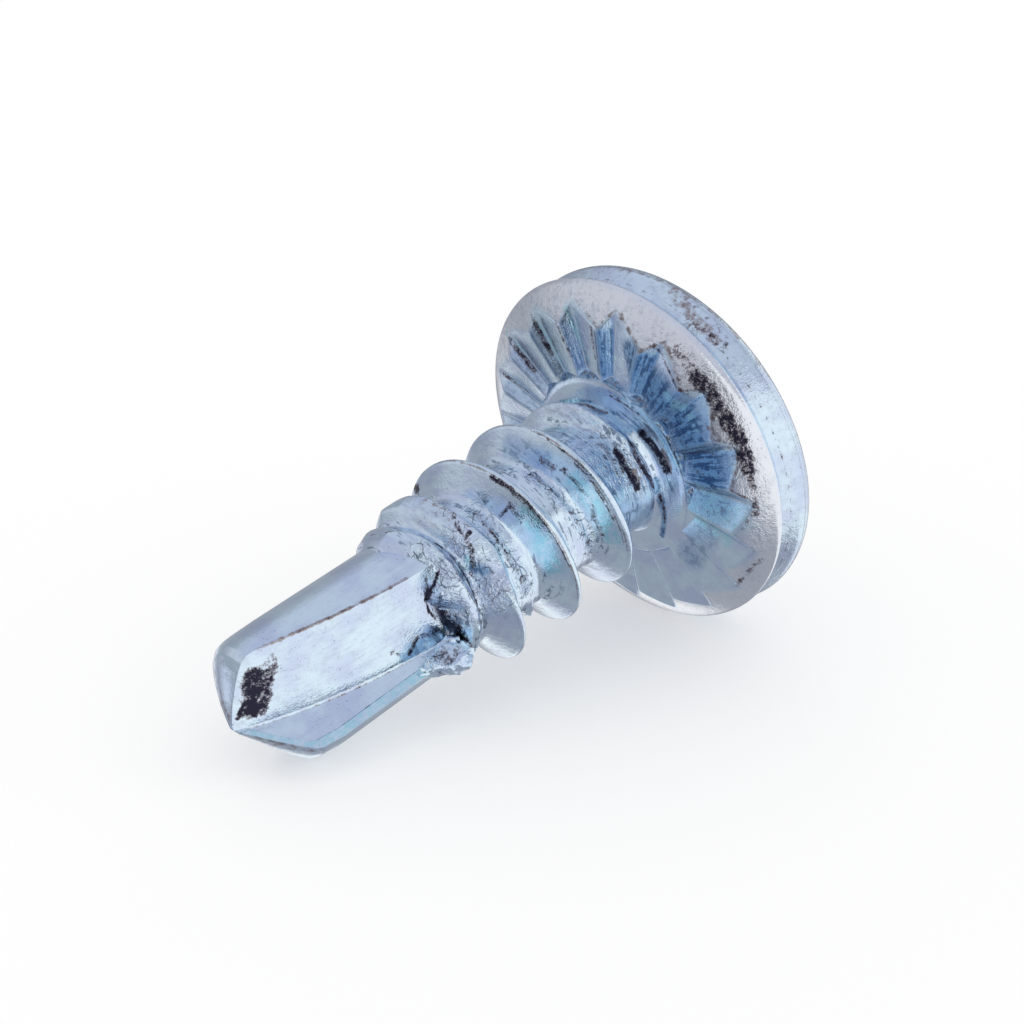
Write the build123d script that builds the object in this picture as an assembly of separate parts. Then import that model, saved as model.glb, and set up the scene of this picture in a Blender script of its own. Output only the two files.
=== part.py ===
from build123d import *
from math import asin, atan2, ceil, cos, degrees, hypot, radians, sin, tan
import os

# Self drilling framing screw, ST3.5 x 9.5: a pan head with a serrated flange and a
# cross recess, a coarse right-hand tapping thread, and a pinched two-flute drill point.
# It is one cold-formed piece.
#
# The screw is drawn standing on its axis, Z, with the head up. z = 0 is the plane of the
# flange's widest rim, and what lies under the head is given as a depth below it.
# Angles are measured around Z from X. At the end the screw is laid down on the rim of
# its flange and one land of its drill point, as it comes to rest on a table.

# Driving dimensions, in millimetres and degrees

# head
dome_diameter = 6.94
crown_radius = 6.5
dome_edge_radius = 0.33      # rounding where the dome turns into its side
dome_edge_height = 0.64      # widest place of the dome above the rim plane
dome_foot_diameter = 6.56    # its side narrows to this, inside the flange
dome_foot_height = 0.18
dome_offset = 0.06           # how far off the screw's axis the dome is struck
dome_offset_angle = -10.0    # and which way

# flange and its locking serrations
flange_diameter = 6.95
rim_rounding = 0.14
rim_under_angle = 50.0       # the rounding turns this far under the rim plane
rim_upper_angle = 40.0       # and this far above it
flange_top_height = 0.36
bearing_diameter = 5.56      # where the flat of the serrated ring begins to fall away
bearing_depth = 0.46         # the ring's crests below the rim plane
rim_bulge = 0.02             # how full the falling edge of the flange is
ring_inner_diameter = 3.68   # the serrations begin here
ring_face_depth = 0.47       # smooth ring inside the serrations
tooth_count = 19
tooth_depth = 0.17           # at the edge of the bearing ring
tooth_steep_share = 0.27     # share of a tooth's pitch that its steep face takes
tooth_phase = 35.5           # angle of one tooth's crest

# cross recess, size 2
recess_diameter = 4.1
recess_depth = 1.55
recess_wing_width = 1.0
recess_floor_diameter = 1.9
recess_floor_width = 0.75
recess_core_diameter = 2.1

# neck and thread
neck_diameter = 2.44
neck_fillet = 0.20
thread_diameter = 3.5
core_diameter = 2.34
pitch = 1.3
crest_width = 0.07
flank_angle = 29.0           # each flank, from the plane across the axis
runout_depth = 0.60          # the thread fades out at this depth below the rim
runout_length = 0.62
thread_phase = 161.2         # angle where a crest passes the depth below
thread_depth = 5.03
full_start_angle = 293.0     # where the crest reaches its full height

# battered beginning of the thread: low, broad, leaning and pushed towards the head
battered_start_angle = 165.0
battered_diameter = 3.10     # at the head side of its flat
battered_lean = 0.12         # the drill side of the flat is this much lower
battered_width = 0.30
battered_push = 0.20

# collar between the thread and the drill point
collar_diameter = 2.76
collar_end_diameter = 2.58   # it tapers to this on its drill side
collar_width = 0.38
collar_rise = 0.40           # length of its slope on the head side
collar_fall = 0.12           # and on the drill side
collar_depth = 5.62          # its drill side, below the rim

# drill point
screw_length = 9.06          # from the rim plane to the tip
drill_diameter = 2.37
point_angles = (110.0, 134.0)    # each land ends in half a cone of its own
shoulder_depths = (8.10, 8.24)   # where each land begins to round off
corner_wear = 0.09           # how much of the cone's corner is worn off, across the axis
rake_angle = -24.0           # direction of the cutting wall of the first flute
flute_wall_tilt = 30.0       # lean of the flute's long wall
web_at_end = 1.40            # thickness of metal between the flutes where they end
web_at_middle = 1.02
web_at_tip = 0.10
flute_end_depth = 5.45
flute_end_radius = 0.20
margin_width = 0.17          # raised strip along each cutting edge
margin_step = 0.035

# torn metal at the end of the first flute, from the head side to the drill side: depth of
# each cross-section, how far it reaches out, its thickness, and its two sides
torn_depths = (5.22, 5.40, 5.66, 5.92, 6.20)
torn_reaches = (1.24, 1.42, 1.44, 1.24, 1.17)
torn_thicknesses = (0.30, 0.40, 0.36, 0.26, 0.12)
torn_low_sides = (-0.12, -0.30, -0.30, -0.22, -0.06)
torn_high_sides = (0.20, 0.22, 0.14, 0.06, 0.06)

# lying on a table
underside_angle = 36.6       # the direction that faces the table

# Sizes worked out from them

core_radius = core_diameter / 2
drill_radius = drill_diameter / 2
flange_radius = flange_diameter / 2
rim_centre = flange_radius - rim_rounding
bearing_radius = bearing_diameter / 2
ring_inner_radius = ring_inner_diameter / 2
thread_radius = thread_diameter / 2
collar_radius = collar_diameter / 2
collar_end_radius = collar_end_diameter / 2
overlap = 0.15               # how far joined forms run into each other


def revolved(*edges):
    """Turn a closed outline, drawn in the XZ plane, around the screw's axis."""
    return revolve(make_face(Wire(edges)), axis=Axis.Z)


def turned(*points):
    """Turn a polygon of (radius, depth) points around the screw's axis."""
    corners = [(radius, 0, -depth) for radius, depth in points]
    return revolve(make_face(Polyline(*corners, close=True)), axis=Axis.Z)


# Head: a flange with a rounded, falling rim, and a crowned dome struck a little off its
# axis. Their sides meet in a crease

dome_edge_centre = dome_diameter / 2 - dome_edge_radius
crown_angle = asin(dome_edge_centre / (crown_radius - dome_edge_radius))
crown_centre_z = dome_edge_height - (crown_radius - dome_edge_radius) * cos(crown_angle)
head_top = crown_centre_z + crown_radius


def on_crown(angle):
    return (crown_radius * sin(angle), 0, crown_centre_z + crown_radius * cos(angle))


def on_dome_edge(angle):
    reach = dome_edge_centre + dome_edge_radius * sin(angle)
    return (reach, 0, dome_edge_height + dome_edge_radius * cos(angle))


def on_rim(angle):
    """A point of the rim's rounding, by its angle above the rim plane in degrees."""
    turn = radians(angle)
    return (rim_centre + rim_rounding * cos(turn), 0, rim_rounding * sin(turn))


def dome():
    half_way = (crown_angle + radians(90)) / 2
    widest = on_dome_edge(radians(90))
    foot = (dome_foot_diameter / 2, 0, dome_foot_height)
    foot_centre = (0, 0, dome_foot_height)
    blank = revolved(
        Line(foot_centre, on_crown(0)),
        ThreePointArc(on_crown(0), on_crown(crown_angle / 2), on_crown(crown_angle)),
        ThreePointArc(on_crown(crown_angle), on_dome_edge(half_way), widest),
        Line(widest, foot),
        Line(foot, foot_centre),
    )
    return blank - cross_recess()


def flange():
    under = on_rim(-rim_under_angle)
    upper = on_rim(rim_upper_angle)
    ring_edge = (bearing_radius, 0, -bearing_depth)
    fall_middle = ((under[0] + bearing_radius) / 2, 0, (under[2] - bearing_depth) / 2 - rim_bulge)
    upper_slope = tan(radians(rim_upper_angle))
    top_edge = (upper[0] - (flange_top_height - upper[2]) * upper_slope, 0, flange_top_height)
    blank = revolved(
        Line((0, 0, -bearing_depth), (0, 0, flange_top_height)),
        Line((0, 0, flange_top_height), top_edge),
        Line(top_edge, upper),
        ThreePointArc(upper, on_rim(0), under),
        ThreePointArc(under, fall_middle, ring_edge),
        Line(ring_edge, (0, 0, -bearing_depth)),
    )
    gaps = PolarLocations(0, tooth_count, start_angle=tooth_phase)
    return blank - [spot * tooth_gap() for spot in gaps]


def tooth_gap():
    """What is pressed away between two serrations: a wedge with its tip on the axis."""
    tooth_angle = radians(360 / tooth_count)
    reach = flange_diameter
    valley_angle = -tooth_angle * (1 - tooth_steep_share)
    valley_z = tooth_depth * reach / bearing_radius - bearing_depth
    apex = (0, 0, -bearing_depth)
    crest = (reach, 0, -bearing_depth)
    next_crest = (reach * cos(tooth_angle), -reach * sin(tooth_angle), -bearing_depth)
    valley = (reach * cos(valley_angle), reach * sin(valley_angle), valley_z)
    sides = [
        (apex, crest, valley),
        (apex, valley, next_crest),
        (apex, next_crest, crest),
        (crest, next_crest, valley),
    ]
    return Solid(Shell([make_face(Polyline(*side, close=True)) for side in sides]))


def cross_recess():
    """Four tapered wings about a tapered core, sunk from the top of the dome."""
    top = Plane.XY.offset(head_top + overlap)
    floor = Plane.XY.offset(head_top - recess_depth)
    # the wings keep their slope up to the plane above the dome that they are drawn on
    flare = (recess_diameter - recess_floor_diameter) * overlap / recess_depth
    wing = loft([
        floor * Rectangle(recess_floor_diameter, recess_floor_width),
        top * Rectangle(recess_diameter + flare, recess_wing_width),
    ])
    core_tip = recess_floor_width / 2
    core = Pos(0, 0, head_top - recess_depth) * Cone(
        core_tip, recess_core_diameter / 2, recess_depth + overlap,
        align=(Align.CENTER, Align.CENTER, Align.MIN))
    return wing + Rot(0, 0, 90) * wing + core


def serrated_head():
    struck_off = Rot(0, 0, dome_offset_angle) * Pos(dome_offset, 0, 0) * Rot(0, 0, -dome_offset_angle)
    return flange() + struck_off * dome()


# Shank: neck with its fillet under the head, thread core and collar


def shank():
    neck_radius = neck_diameter / 2
    fillet_middle = neck_fillet * (1 - cos(radians(45)))
    neck_end = runout_depth + runout_length / 2
    collar_top = collar_depth - collar_width
    return turned(
        (0, 0),
        (ring_inner_radius, 0),
        (ring_inner_radius, ring_face_depth),
        (neck_radius + neck_fillet, ring_face_depth),
        (neck_radius + fillet_middle, ring_face_depth + fillet_middle),
        (neck_radius, ring_face_depth + neck_fillet),
        (neck_radius, neck_end),
        (core_radius, neck_end + overlap),
        (core_radius, collar_top - collar_rise),
        (collar_radius, collar_top),
        (collar_end_radius, collar_depth - collar_fall),
        (drill_radius, collar_depth),
        (0, collar_depth),
    )


# Thread: a trapezoid swept up a right-hand helix, one turn at a time, with its battered
# beginning over the collar, and trimmed where it fades out at the neck


def helix_depth(angle):
    """Depth at which the thread's crest passes an angle, counted on from turn to turn."""
    return thread_depth - pitch * (angle - thread_phase) / 360


def ridge_arc(start_angle, swept_angle, low_radius, high_radius, width, push):
    """An arc of the ridge. Its flat is low at the drill side, high at the head side."""
    root = core_radius - overlap
    flank_slope = tan(radians(flank_angle))
    section = make_face(Polyline(
        (root, 0, -width / 2 - (low_radius - root) * flank_slope),
        (low_radius, 0, -width / 2),
        (high_radius, 0, width / 2),
        (root, 0, width / 2 + (high_radius - root) * flank_slope),
        close=True))
    path = Helix(pitch, pitch * swept_angle / 360, root)
    ridge = sweep(section, path=path, is_frenet=True)
    return Pos(0, 0, push - helix_depth(start_angle)) * Rot(0, 0, start_angle) * ridge


def thread():
    turns = ceil((helix_depth(full_start_angle) - runout_depth) / pitch)
    arcs = [ridge_arc(full_start_angle + 360 * turn, 360, thread_radius, thread_radius, crest_width, 0)
            for turn in range(turns)]
    clear = thread_radius + overlap
    fade_out = (clear - core_radius) / (thread_radius - core_radius) * runout_length
    room = turned(
        (0, collar_depth),
        (clear, collar_depth),
        (clear, runout_depth + fade_out),
        (core_radius, runout_depth),
        (0, runout_depth),
    )
    full = arcs[0].fuse(*arcs[1:]) & room
    battered_radius = battered_diameter / 2
    battered = ridge_arc(
        battered_start_angle, full_start_angle - battered_start_angle,
        battered_radius - battered_lean, battered_radius, battered_width, battered_push)
    return full + battered


# Drill point: each half is half a turned bar with a conical end of its own and a worn
# corner


def half_bar(turn, point_angle, shoulder_depth):
    """One land's half, reaching back into the collar, about its cutting edge's direction."""
    top = collar_depth - collar_fall - overlap
    worn_radius = drill_radius - corner_wear
    profile = make_face(Polyline(
        (0, 0, -top),
        (drill_radius, 0, -top),
        (drill_radius, 0, -shoulder_depth),
        (worn_radius, 0, worn_radius / tan(radians(point_angle / 2)) - screw_length),
        (0, 0, -screw_length),
        close=True))
    # the half begins this far before the edge, so that all of its land is on it
    before_edge = 45
    return Rot(0, 0, rake_angle + turn - before_edge) * revolve(profile, axis=Axis.Z, revolution_arc=180)


def drill_blank():
    first, second = [half_bar(*land) for land in zip((0, 180), point_angles, shoulder_depths)]
    return first + second


# Two pinched flutes. Each has a cutting wall in a plane through the axis and
# a long leaning wall, and the leaning walls leave a web between them that thins to the tip


def leaning_side():
    """Everything outside one leaning wall, from the flute's end to past the tip."""
    web_middle_depth = (flute_end_depth + screw_length) / 2
    reach = screw_length + overlap
    outside = thread_diameter
    foot = (flute_end_depth, web_at_end / 2)
    tip = (screw_length, web_at_tip / 2)
    top = (flute_end_depth - flute_end_radius, web_at_end / 2 + flute_end_radius)
    wall = ThreePointArc(foot, (web_middle_depth, web_at_middle / 2), tip)
    outer = Polyline(tip, (reach, web_at_tip / 2), (reach, outside), (top[0], outside), top)
    run_up = RadiusArc(top, foot, -flute_end_radius)
    outline = make_face(wall.edges() + outer.edges() + run_up.edges())
    tilt = radians(flute_wall_tilt)
    along_wall = (-sin(tilt), -cos(tilt), 0)
    wall_plane = Plane(origin=(0, 0, 0), x_dir=(0, 0, -1), z_dir=along_wall)
    return extrude(wall_plane * outline, amount=thread_diameter, both=True)


def cutting_side():
    """The half before the cutting wall, and the recess inside the strip along its edges."""
    half_point = radians(point_angles[0] / 2)
    size = 2 * screw_length
    before = Box(size, size, size, align=(Align.CENTER, Align.MAX, Align.CENTER))
    strip_inner = drill_radius - margin_width
    inner_tip = screw_length - margin_width / sin(half_point)
    recess = make_face(Polyline(
        (0, 0, -inner_tip),
        (strip_inner, 0, strip_inner / tan(half_point) - inner_tip),
        (strip_inner, 0, 0),
        (0, 0, 0),
        close=True))
    return before + extrude(recess, amount=margin_step, dir=(0, 1, 0))


def flutes():
    one = leaning_side() & cutting_side()
    return [Rot(0, 0, rake_angle + turn) * one for turn in (0, 180)]


# Metal torn up where the thread starts, at the end of the first flute


def torn_metal():
    """A ragged lip that curls over the cutting wall, lofted through its cross-sections."""
    sections = []
    for depth, reach, thickness, low, high in zip(
            torn_depths, torn_reaches, torn_thicknesses, torn_low_sides, torn_high_sides):
        corners = [(reach - thickness, low), (reach, low), (reach, high), (reach - thickness, high)]
        sections.append(Plane.XY.offset(-depth) * make_face(Polyline(*corners, close=True)))
    return Rot(0, 0, rake_angle) * loft(sections, ruled=True)


def screw():
    body = shank() + drill_blank() + thread() - flutes()
    return body + torn_metal() + serrated_head()


# Lay it down: the rounding of the flange's rim and the shoulder of the first land touch
# the table


def laid_down(body):
    across = rim_centre - drill_radius
    along = shoulder_depths[0]
    lean = degrees(atan2(across, along) + asin(rim_rounding / hypot(across, along)))
    lying = Rot(0, lean - 90, 0) * Rot(0, 0, 180 - underside_angle) * body
    box = lying.bounding_box()
    return Pos(-box.center().X, -box.center().Y, -box.min.Z) * lying


os.makedirs("parts", exist_ok=True)
export_step(laid_down(screw()), "parts/screw.step")
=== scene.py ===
# A self drilling framing screw, zinc plated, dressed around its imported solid.
import math
import bpy
import numpy as np
from mathutils import Matrix, Vector


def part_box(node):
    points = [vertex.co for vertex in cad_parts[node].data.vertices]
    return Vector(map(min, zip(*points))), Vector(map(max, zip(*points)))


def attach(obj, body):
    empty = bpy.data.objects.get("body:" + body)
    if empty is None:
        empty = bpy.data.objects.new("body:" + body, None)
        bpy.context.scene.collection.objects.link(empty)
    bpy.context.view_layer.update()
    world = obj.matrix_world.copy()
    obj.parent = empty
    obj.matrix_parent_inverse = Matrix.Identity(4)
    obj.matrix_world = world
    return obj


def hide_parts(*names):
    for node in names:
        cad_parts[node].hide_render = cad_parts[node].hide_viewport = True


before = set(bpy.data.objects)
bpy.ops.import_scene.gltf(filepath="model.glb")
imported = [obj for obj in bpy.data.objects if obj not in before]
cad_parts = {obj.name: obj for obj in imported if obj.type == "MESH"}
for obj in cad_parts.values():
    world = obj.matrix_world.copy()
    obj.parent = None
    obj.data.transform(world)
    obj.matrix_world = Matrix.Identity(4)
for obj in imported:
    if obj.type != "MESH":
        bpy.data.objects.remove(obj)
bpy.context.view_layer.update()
nodeLow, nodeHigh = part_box("screw")
print("frame loaded, the screw is %.2f mm long as it lies" % (1000 * (nodeHigh.x - nodeLow.x)))

# Every shape below is drawn in millimetres on the screw's own axis. Z points to the head,
# and a depth is measured from the plane of the flange's rim towards the drill point.
lying = {
    "screwLength": 9.06,
    "rimCentre": 3.335,        # radius at which the rounding of the flange's rim is centred
    "rimRounding": 0.14,
    "drillRadius": 1.185,
    "shoulderDepth": 8.10,
    "undersideAngle": 36.6,    # the side that faces the table
}
across = lying["rimCentre"] - lying["drillRadius"]
lean = math.atan2(across, lying["shoulderDepth"])
lean += math.asin(lying["rimRounding"] / math.hypot(across, lying["shoulderDepth"]))
lift = lying["rimCentre"] * math.cos(lean) + lying["rimRounding"]
lengthwaysShift = 1000 * nodeHigh.x - lying["screwLength"] * math.cos(lean)
sidewaysShift = 1000 * nodeLow.y + lying["rimCentre"] + lying["rimRounding"]


# The points are turned about Z until the underside faces down, the axis is tipped over
# to its lean, and the rim's rounding is lifted onto the floor. The result is in metres.
def layDown(points):
    spin = math.radians(180 - lying["undersideAngle"])
    x = points[..., 0] * math.cos(spin) - points[..., 1] * math.sin(spin)
    y = points[..., 0] * math.sin(spin) + points[..., 1] * math.cos(spin)
    z = points[..., 2]
    lengthways = x * math.sin(lean) - z * math.cos(lean) + lengthwaysShift
    up = x * math.cos(lean) + z * math.sin(lean) + lift
    return np.stack([lengthways, y + sidewaysShift, up], axis=-1) / 1000


# ---- small helpers for surfaces

# 0 below the first value, 1 above the second, and a cubic in between.
def smoothStep(low, high, value):
    share = np.clip((value - low) / (high - low), 0, 1)
    return share * share * (3 - 2 * share)


# The larger of two heights, rounded where they cross: half of their sum and of the root
# of their squared difference plus the squared width.
def softMax(first, second, width):
    return (first + second + np.sqrt((first - second) ** 2 + width ** 2)) / 2


def softMin(first, second, width):
    return -softMax(-first, -second, width)


# Angles in degrees brought to the half turn each side of the centre.
def angleFrom(theta, centre):
    return (theta - centre + 180) % 360 - 180


# A number from 0 to 1 for every lattice cell, mixed from its three whole coordinates.
def cellValue(cells, seed):
    mixed = cells[..., 0].astype(np.uint64) * np.uint64(0x9E3779B97F4A7C15)
    mixed ^= cells[..., 1].astype(np.uint64) * np.uint64(0xC2B2AE3D27D4EB4F)
    mixed ^= cells[..., 2].astype(np.uint64) * np.uint64(0x165667B19E3779F9)
    mixed += np.uint64(seed * 7919 + 13)
    mixed ^= mixed >> np.uint64(29)
    mixed *= np.uint64(0xBF58476D1CE4E5B9)
    mixed ^= mixed >> np.uint64(32)
    return (mixed & np.uint64(0xFFFFFF)).astype(float) / 0xFFFFFF


# Smooth noise from -1 to 1: the values of the eight lattice corners around a point,
# weighted by a cubic of its distance from each.
def latticeNoise(points, size, seed):
    place = points / size
    base = np.floor(place)
    part = place - base
    part = part * part * (3 - 2 * part)
    cells = base.astype(np.int64)
    total = 0
    for corner in range(8):
        step = np.array([corner & 1, corner >> 1 & 1, corner >> 2 & 1])
        weight = np.prod(np.where(step == 1, part, 1 - part), axis=-1)
        total = total + weight * cellValue(cells + step, seed)
    return 2 * total - 1


# Noise of several sizes, each half as large and half as strong as the one before.
def layeredNoise(points, size, seed, layers):
    total = 0
    strength = 0
    for layer in range(layers):
        total = total + latticeNoise(points, size / 2 ** layer, seed + layer) / 2 ** layer
        strength += 0.5 ** layer
    return total / strength


def polar(theta, radius, depth):
    angle = np.radians(theta)
    radius, depth, angle = np.broadcast_arrays(radius, depth, angle)
    return np.stack([radius * np.cos(angle), radius * np.sin(angle), -depth], axis=-1)


# Points evenly along a polygon after its corners are cut into small arcs: each corner
# becomes a quadratic curve that starts and ends a given distance from it.
def roundedPath(corners, roundings, spacing):
    corners = np.array(corners, float)
    pieces = [corners[:1]]
    share = np.linspace(0, 1, 12)[:, None]
    for before, corner, after, size in zip(corners, corners[1:], corners[2:], roundings):
        start = corner + (before - corner) * size / np.linalg.norm(before - corner)
        end = corner + (after - corner) * size / np.linalg.norm(after - corner)
        pieces.append((1 - share) ** 2 * start + 2 * share * (1 - share) * corner + share ** 2 * end)
    pieces.append(corners[-1:])
    path = np.concatenate(pieces)
    travel = np.concatenate([[0], np.cumsum(np.linalg.norm(np.diff(path, axis=0), axis=1))])
    places = np.linspace(0, travel[-1], max(2, int(travel[-1] / spacing)))
    return np.stack([np.interp(places, travel, path[:, axis]) for axis in range(2)], axis=-1)


# Triangles of a shell whose points are a first pole, rows of columns that close round,
# and a last pole.
def shellTriangles(rows, columns):
    index = 1 + np.arange(rows * columns).reshape(rows, columns)
    beside = np.roll(index, -1, axis=1)
    last = rows * columns + 1
    return np.concatenate([
        np.stack([index[:-1], index[1:], beside[1:]], -1).reshape(-1, 3),
        np.stack([index[:-1], beside[1:], beside[:-1]], -1).reshape(-1, 3),
        np.stack([np.zeros(columns, int), index[0], beside[0]], -1),
        np.stack([np.full(columns, last), beside[-1], index[-1]], -1),
    ])


def shellPoints(firstPole, grid, lastPole):
    return np.concatenate([[firstPole], grid.reshape(-1, 3), [lastPole]])


# The shell's triangles turned so that its signed volume, a sum of the corners' triple
# products, is positive and its faces point outwards.
def outwards(points, triangles):
    a, b, c = (points[triangles[:, corner]] for corner in range(3))
    if (a * np.cross(b, c)).sum() < 0:
        return triangles[:, ::-1]
    return triangles


# Each point's normal is the sum of the area vectors of the triangles around it.
def pointNormals(points, triangles):
    a, b, c = (points[triangles[:, corner]] for corner in range(3))
    area = np.cross(b - a, c - a)
    corners = triangles.ravel()
    total = np.stack([np.bincount(corners, np.repeat(area[:, axis], 3), len(points))
                      for axis in range(3)], -1)
    return total / np.maximum(np.linalg.norm(total, axis=1, keepdims=True), 1e-12)


# Angle, distance from the axis and depth. The angle's jump is on the side that faces up.
def onScrew(points):
    theta = angleFrom(np.degrees(np.arctan2(points[:, 1], points[:, 0])), -91) - 91
    return theta, np.hypot(points[:, 0], points[:, 1]), -points[:, 2]


# The first mark is for dark stains and also for painted shade and painted reflections of dark surroundings.
markNames = ("stainAndShade", "film", "teal", "wear", "matt", "torn")


# How strongly strokes cover each place, as the largest of their shares. A stroke is its
# half width, its strength and its corners. Its share is full within 0.4 of the half width
# of its line and gone beyond 1.6.
def strokeShare(place, strokes):
    share = np.zeros(len(place))
    for halfWidth, strength, corners in strokes:
        corners = np.array(corners, float)
        nearest = np.full(len(place), 9.0)
        for start, end in zip(corners, corners[1:]):
            run = end - start
            part = np.clip(((place - start) @ run) / (run @ run), 0, 1)[:, None]
            nearest = np.minimum(nearest, np.linalg.norm(place - start - part * run, axis=1))
        share = np.maximum(share, strength * (1 - smoothStep(0.4 * halfWidth, 1.6 * halfWidth, nearest)))
    return share


def flatRing(theta, radius):
    return polar(theta, radius, 0)[:, :2]


# Angle and depth on a cylinder, unrolled to a flat sheet.
def unrolled(radius):
    return lambda theta, depth: np.stack([np.radians(theta) * radius, depth], -1)


# The marks of a piece. The corners of its strokes are an angle and a radius or depth, and
# both they and the piece's points are laid flat first.
def marksOf(piece, flatten, theta, other):
    marks = {}
    for name in markNames:
        if name in piece:
            strokes = [(halfWidth, strength, flatten(*np.array(corners, float).T))
                       for halfWidth, strength, corners in piece[name]]
            marks[name] = strokeShare(flatten(theta, other), strokes)
    return marks


# A value for each angle from pairs of an angle and a value.
def byAngle(theta, pairs):
    return np.interp(theta, *np.array(pairs).T)


# The marks are one number a point. The combed places are where the finish reads its
# streaks: they change slowly along a streak and fast across it.
def makePiece(name, points, triangles, sharpAngle, marks, combed):
    mesh = bpy.data.meshes.new(name)
    mesh.vertices.add(len(points))
    mesh.vertices.foreach_set("co", layDown(points).astype(np.float32).ravel())
    mesh.loops.add(3 * len(triangles))
    mesh.loops.foreach_set("vertex_index", triangles.astype(np.int32).ravel())
    mesh.polygons.add(len(triangles))
    mesh.polygons.foreach_set("loop_start", np.arange(0, 3 * len(triangles), 3, dtype=np.int32))
    mesh.update(calc_edges=True)
    mesh.polygons.foreach_set("use_smooth", np.ones(len(triangles), bool))
    mesh.set_sharp_from_angle(angle=math.radians(sharpAngle))
    for markName, values in marks.items():
        mark = mesh.attributes.new(markName, "FLOAT", "POINT")
        mark.data.foreach_set("value", np.broadcast_to(values, len(points)).astype(np.float32))
    comb = mesh.attributes.new("combed", "FLOAT_VECTOR", "POINT")
    comb.data.foreach_set("vector", combed.astype(np.float32).ravel())
    mesh.materials.append(zincFinish)
    piece = bpy.data.objects.new(name, mesh)
    bpy.context.scene.collection.objects.link(piece)
    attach(piece, "root")
    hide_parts("screw")
    print("%s: %d triangles" % (name, len(triangles)))


# ---- finishes

# One socket of a material. Its operators add Math nodes, so that a formula on sockets
# and numbers reads as it is written.
class Wire:
    def __init__(self, graph, socket):
        self.graph = graph
        self.socket = socket

    def math(self, operation, *values, clamp=False):
        settings = {"operation": operation, "use_clamp": clamp}
        return self.graph.add("ShaderNodeMath", settings, dict(enumerate(values)))

    def __add__(self, other):
        return self.math("ADD", self, other)

    def __radd__(self, other):
        return self.math("ADD", other, self)

    def __sub__(self, other):
        return self.math("SUBTRACT", self, other)

    def __rsub__(self, other):
        return self.math("SUBTRACT", other, self)

    def __mul__(self, other):
        return self.math("MULTIPLY", self, other)

    def __rmul__(self, other):
        return self.math("MULTIPLY", other, self)

    def __truediv__(self, other):
        return self.math("DIVIDE", self, other)

    # 0 below low, 1 above high, smooth in between
    def between(self, low, high):
        sockets = {"Value": self, "From Min": low, "From Max": high}
        return self.graph.add("ShaderNodeMapRange", {"interpolation_type": "SMOOTHSTEP"}, sockets)

    # 1 below low, 0 above high
    def below(self, high, low):
        return 1 - self.between(low, high)

    def clamped(self):
        return self.math("ADD", self, 0.0, clamp=True)


# A material's nodes. Settings are set before sockets, and sockets take values or wires.
class Graph:
    def __init__(self, tree):
        self.tree = tree

    def add(self, kind, settings, sockets, output=0):
        node = self.tree.nodes.new(kind)
        for name, value in settings.items():
            setattr(node, name, value)
        self.feed(node, sockets)
        return Wire(self, node.outputs[output])

    def feed(self, node, sockets):
        for name, value in sockets.items():
            if isinstance(value, Wire):
                self.tree.links.new(value.socket, node.inputs[name])
            else:
                node.inputs[name].default_value = value

    def mixColour(self, share, first, second):
        colours = [(*colour, 1) if isinstance(colour, tuple) else colour for colour in (first, second)]
        sockets = {0: share, 6: colours[0], 7: colours[1]}
        return self.add("ShaderNodeMix", {"data_type": "RGBA"}, sockets, 2)

    # noise of a size in millimetres on places in metres
    def noise(self, place, size, detail, roughness=0.5, output=0):
        sockets = {"Vector": place, "Scale": 1000 / size, "Detail": detail, "Roughness": roughness}
        return self.add("ShaderNodeTexNoise", {}, sockets, output)

    def mark(self, name):
        return self.add("ShaderNodeAttribute", {"attribute_name": name}, {}, 2)


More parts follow.
